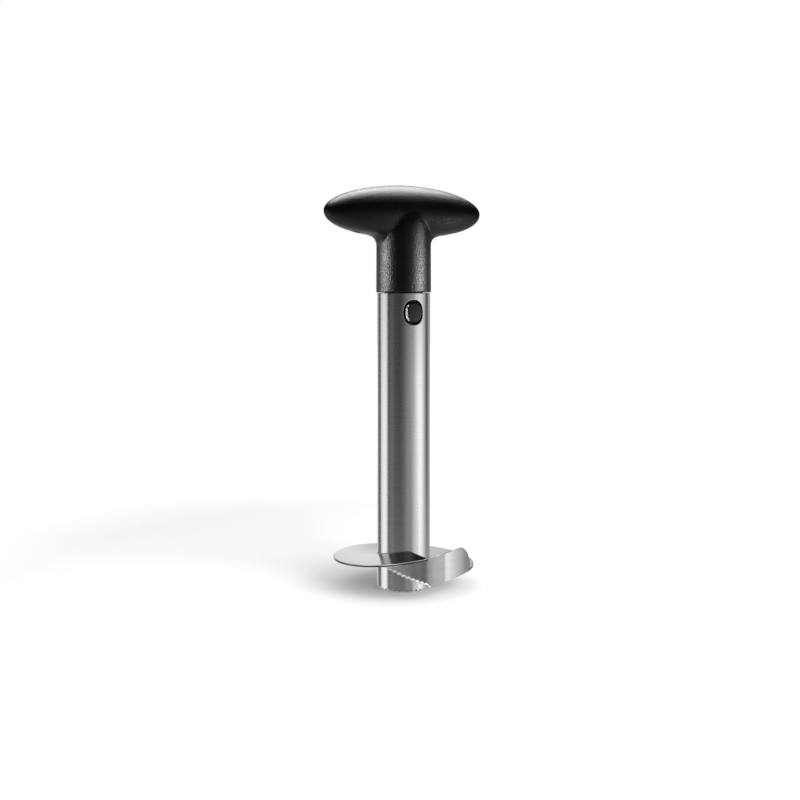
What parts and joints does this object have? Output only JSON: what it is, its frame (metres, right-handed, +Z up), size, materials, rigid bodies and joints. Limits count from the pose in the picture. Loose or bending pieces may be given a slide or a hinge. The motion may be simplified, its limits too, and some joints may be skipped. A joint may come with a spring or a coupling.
{
  "type": "pineapple slicer",
  "caption": "Steel core tube with a toothed mouth, a helical ring blade and an upright serrated rim cutter, under a lift-off black T grip held by sprung push buttons.",
  "frame": {"origin": "on the core tube's axis, in the plane of the tube's tooth tips that it stands on", "axes": "+Z up the tube to the grip, X along the grip's bar, and the two buttons face -Y and +Y"},
  "size_m": [0.1, 0.0852, 0.2422],
  "materials": {
    "tube_steel": "fine brushed round the tube",
    "blade_steel": "satin",
    "fastener_steel": "zinc plated",
    "blackened_steel": "black oxide",
    "spring_steel": "bright drawn wire",
    "grip_plastic": "fine grained",
    "inner_plastic": "smooth",
    "button_plastic": "fine textured face with a smooth rounded edge"
  },
  "bodies": {
    "cutter": {"core_tube": "tube_steel", "ring_blade": "blade_steel", "rim_cutter": "blade_steel"},
    "grip": {"grip_lower_shell": "grip_plastic", "grip_upper_shell": "grip_plastic", "grip_screw_left": "blackened_steel", "grip_screw_right": "blackened_steel", "latch_spigot": "inner_plastic", "spigot_end_plug": "inner_plastic", "plug_screw_left": "fastener_steel", "plug_screw_right": "fastener_steel", "stem_bolt": "fastener_steel", "bolt_washer": "fastener_steel", "bolt_nut": "fastener_steel", "spring_front": "spring_steel", "spring_rear": "spring_steel"},
    "front_button": {"button_front": "button_plastic"},
    "rear_button": {"button_rear": "button_plastic"}
  },
  "joints": [
    {"name": "grip_lift", "type": "slide", "parent": "cutter", "child": "grip", "axis": [0, 0, 1], "range_m": [0, 0.16]},
    {"name": "front_button_press", "type": "slide", "parent": "grip", "child": "front_button", "axis": [0, 1, 0], "range_m": [0, 0.003], "stiffness_N_per_m": 600, "springref_m": -0.003, "deforming": ["spring_front"]},
    {"name": "rear_button_press", "type": "slide", "parent": "grip", "child": "rear_button", "axis": [0, -1, 0], "range_m": [0, 0.003], "stiffness_N_per_m": 600, "springref_m": -0.003, "deforming": ["spring_rear"]}
  ]
}
